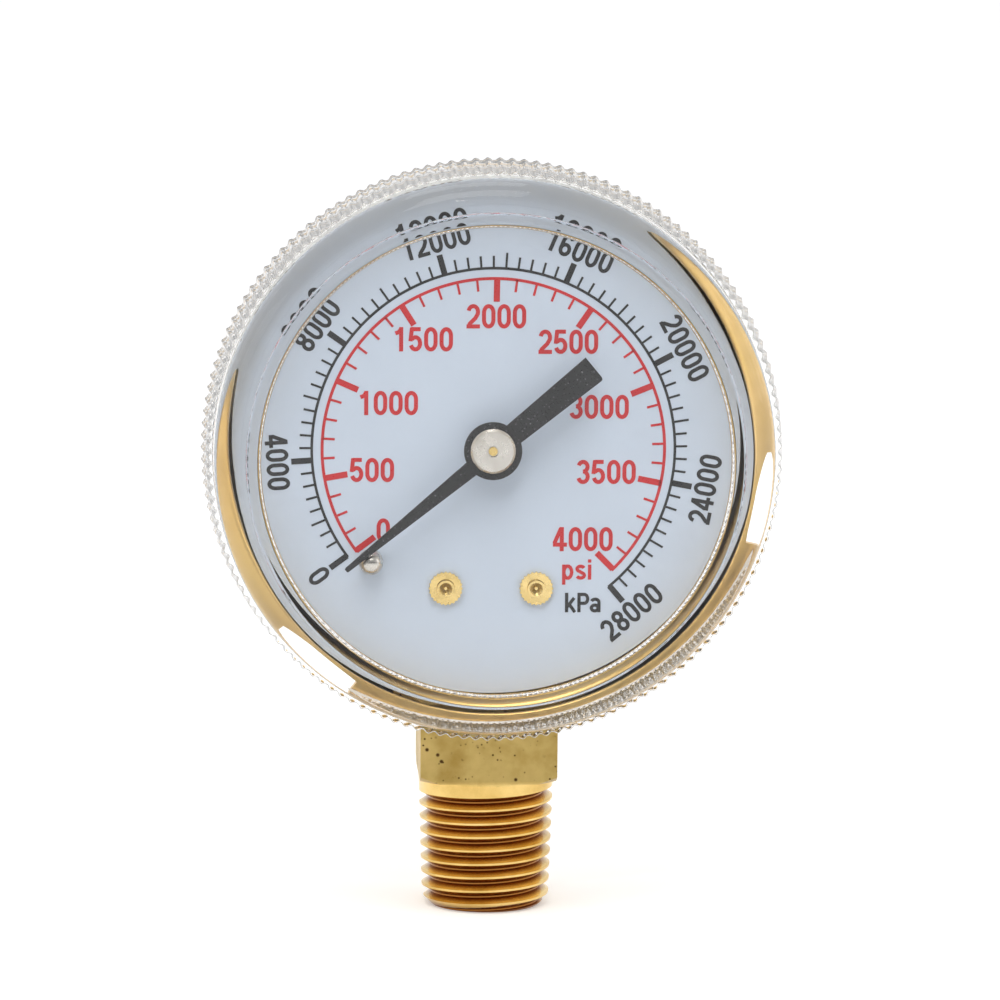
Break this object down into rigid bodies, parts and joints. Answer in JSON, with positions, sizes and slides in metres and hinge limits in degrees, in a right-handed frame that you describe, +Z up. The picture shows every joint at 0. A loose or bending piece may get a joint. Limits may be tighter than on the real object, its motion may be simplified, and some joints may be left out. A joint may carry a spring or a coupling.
{
  "type": "pressure gauge",
  "caption": "Round dial pressure gauge with a bottom tapered pipe stem, clear twist-on lens, and a working pointer movement.",
  "frame": {"origin": "centre of the threaded stem's lower end face", "axes": "+Z up along the stem's thread axis, the dial faces -Y"},
  "size_m": [0.059, 0.0302, 0.078],
  "materials": {
    "stem_brass": "machined",
    "brass": "satin",
    "bronze": "satin",
    "case_gold": "satin lacquered",
    "screw_steel": "bright",
    "nickel": "satin nickel",
    "rubber": "matte",
    "gasket": "matte silicone",
    "lens_clear": "clear polycarbonate",
    "dial_paint": "satin",
    "pointer_black": "matte"
  },
  "bodies": {
    "gauge_body": {"socket": "stem_brass", "restrictor_screw": "brass", "case": "case_gold", "case_screws": "screw_steel", "relief_plug": "rubber", "lens_gasket": "gasket", "dial": "dial_paint", "dial_rivets": "brass", "stop_pin": "nickel", "bourdon_tube": "bronze", "hairspring": "bronze", "hairspring_stud": "brass", "movement_front_plate": "brass", "movement_back_plate": "brass", "movement_pillars": "brass", "front_movement_screws": "screw_steel", "back_movement_screws": "screw_steel", "movement_bracket": "brass", "bracket_screws": "screw_steel"},
    "lens_cover": {"lens": "lens_clear"},
    "pointer_assembly": {"pinion_arbor": "brass", "pointer": "pointer_black", "pointer_hub": "nickel", "hairspring_collet": "brass"},
    "sector": {"sector_gear": "brass", "sector_arbor": "screw_steel", "tail_screw": "screw_steel"},
    "tip": {"tube_tip": "brass", "tip_pin": "screw_steel"},
    "link_bar": {"link": "brass"}
  },
  "joints": [
    {"name": "lens_twist", "type": "hinge", "parent": "gauge_body", "child": "lens_cover", "pos_m": [0, -0.012, 0.0485], "axis": [0, -1, 0], "range_deg": [0, 20]},
    {"name": "sector_pivot", "type": "hinge", "parent": "gauge_body", "child": "sector", "pos_m": [-0.012, -0.0002, 0.0485], "axis": [0, -1, 0], "range_deg": [0, 37.86], "stiffness_Nm_per_rad": 0.002, "springref_deg": -11.46},
    {"name": "pointer_arbor", "type": "hinge", "parent": "gauge_body", "child": "pointer_assembly", "pos_m": [0, -0.0002, 0.0485], "axis": [0, 1, 0], "range_deg": [0, 265]},
    {"name": "tube_tip_travel", "type": "hinge", "parent": "gauge_body", "child": "tip", "pos_m": [0, -0.0023, 0.0485], "axis": [0, -1, 0], "range_deg": [0, 8.8]},
    {"name": "link_swing", "type": "hinge", "parent": "tip", "child": "link_bar", "pos_m": [-0.01188, -0.0012, 0.05583], "axis": [0, -1, 0], "range_deg": [-8.8, 0]}
  ],
  "couplings": [
    {"joint": "pointer_arbor", "follows": "sector_pivot", "ratio": 7},
    {"joint": "tube_tip_travel", "follows": "sector_pivot", "ratio": 0.23225},
    {"joint": "link_swing", "follows": "sector_pivot", "ratio": -0.23225}
  ]
}
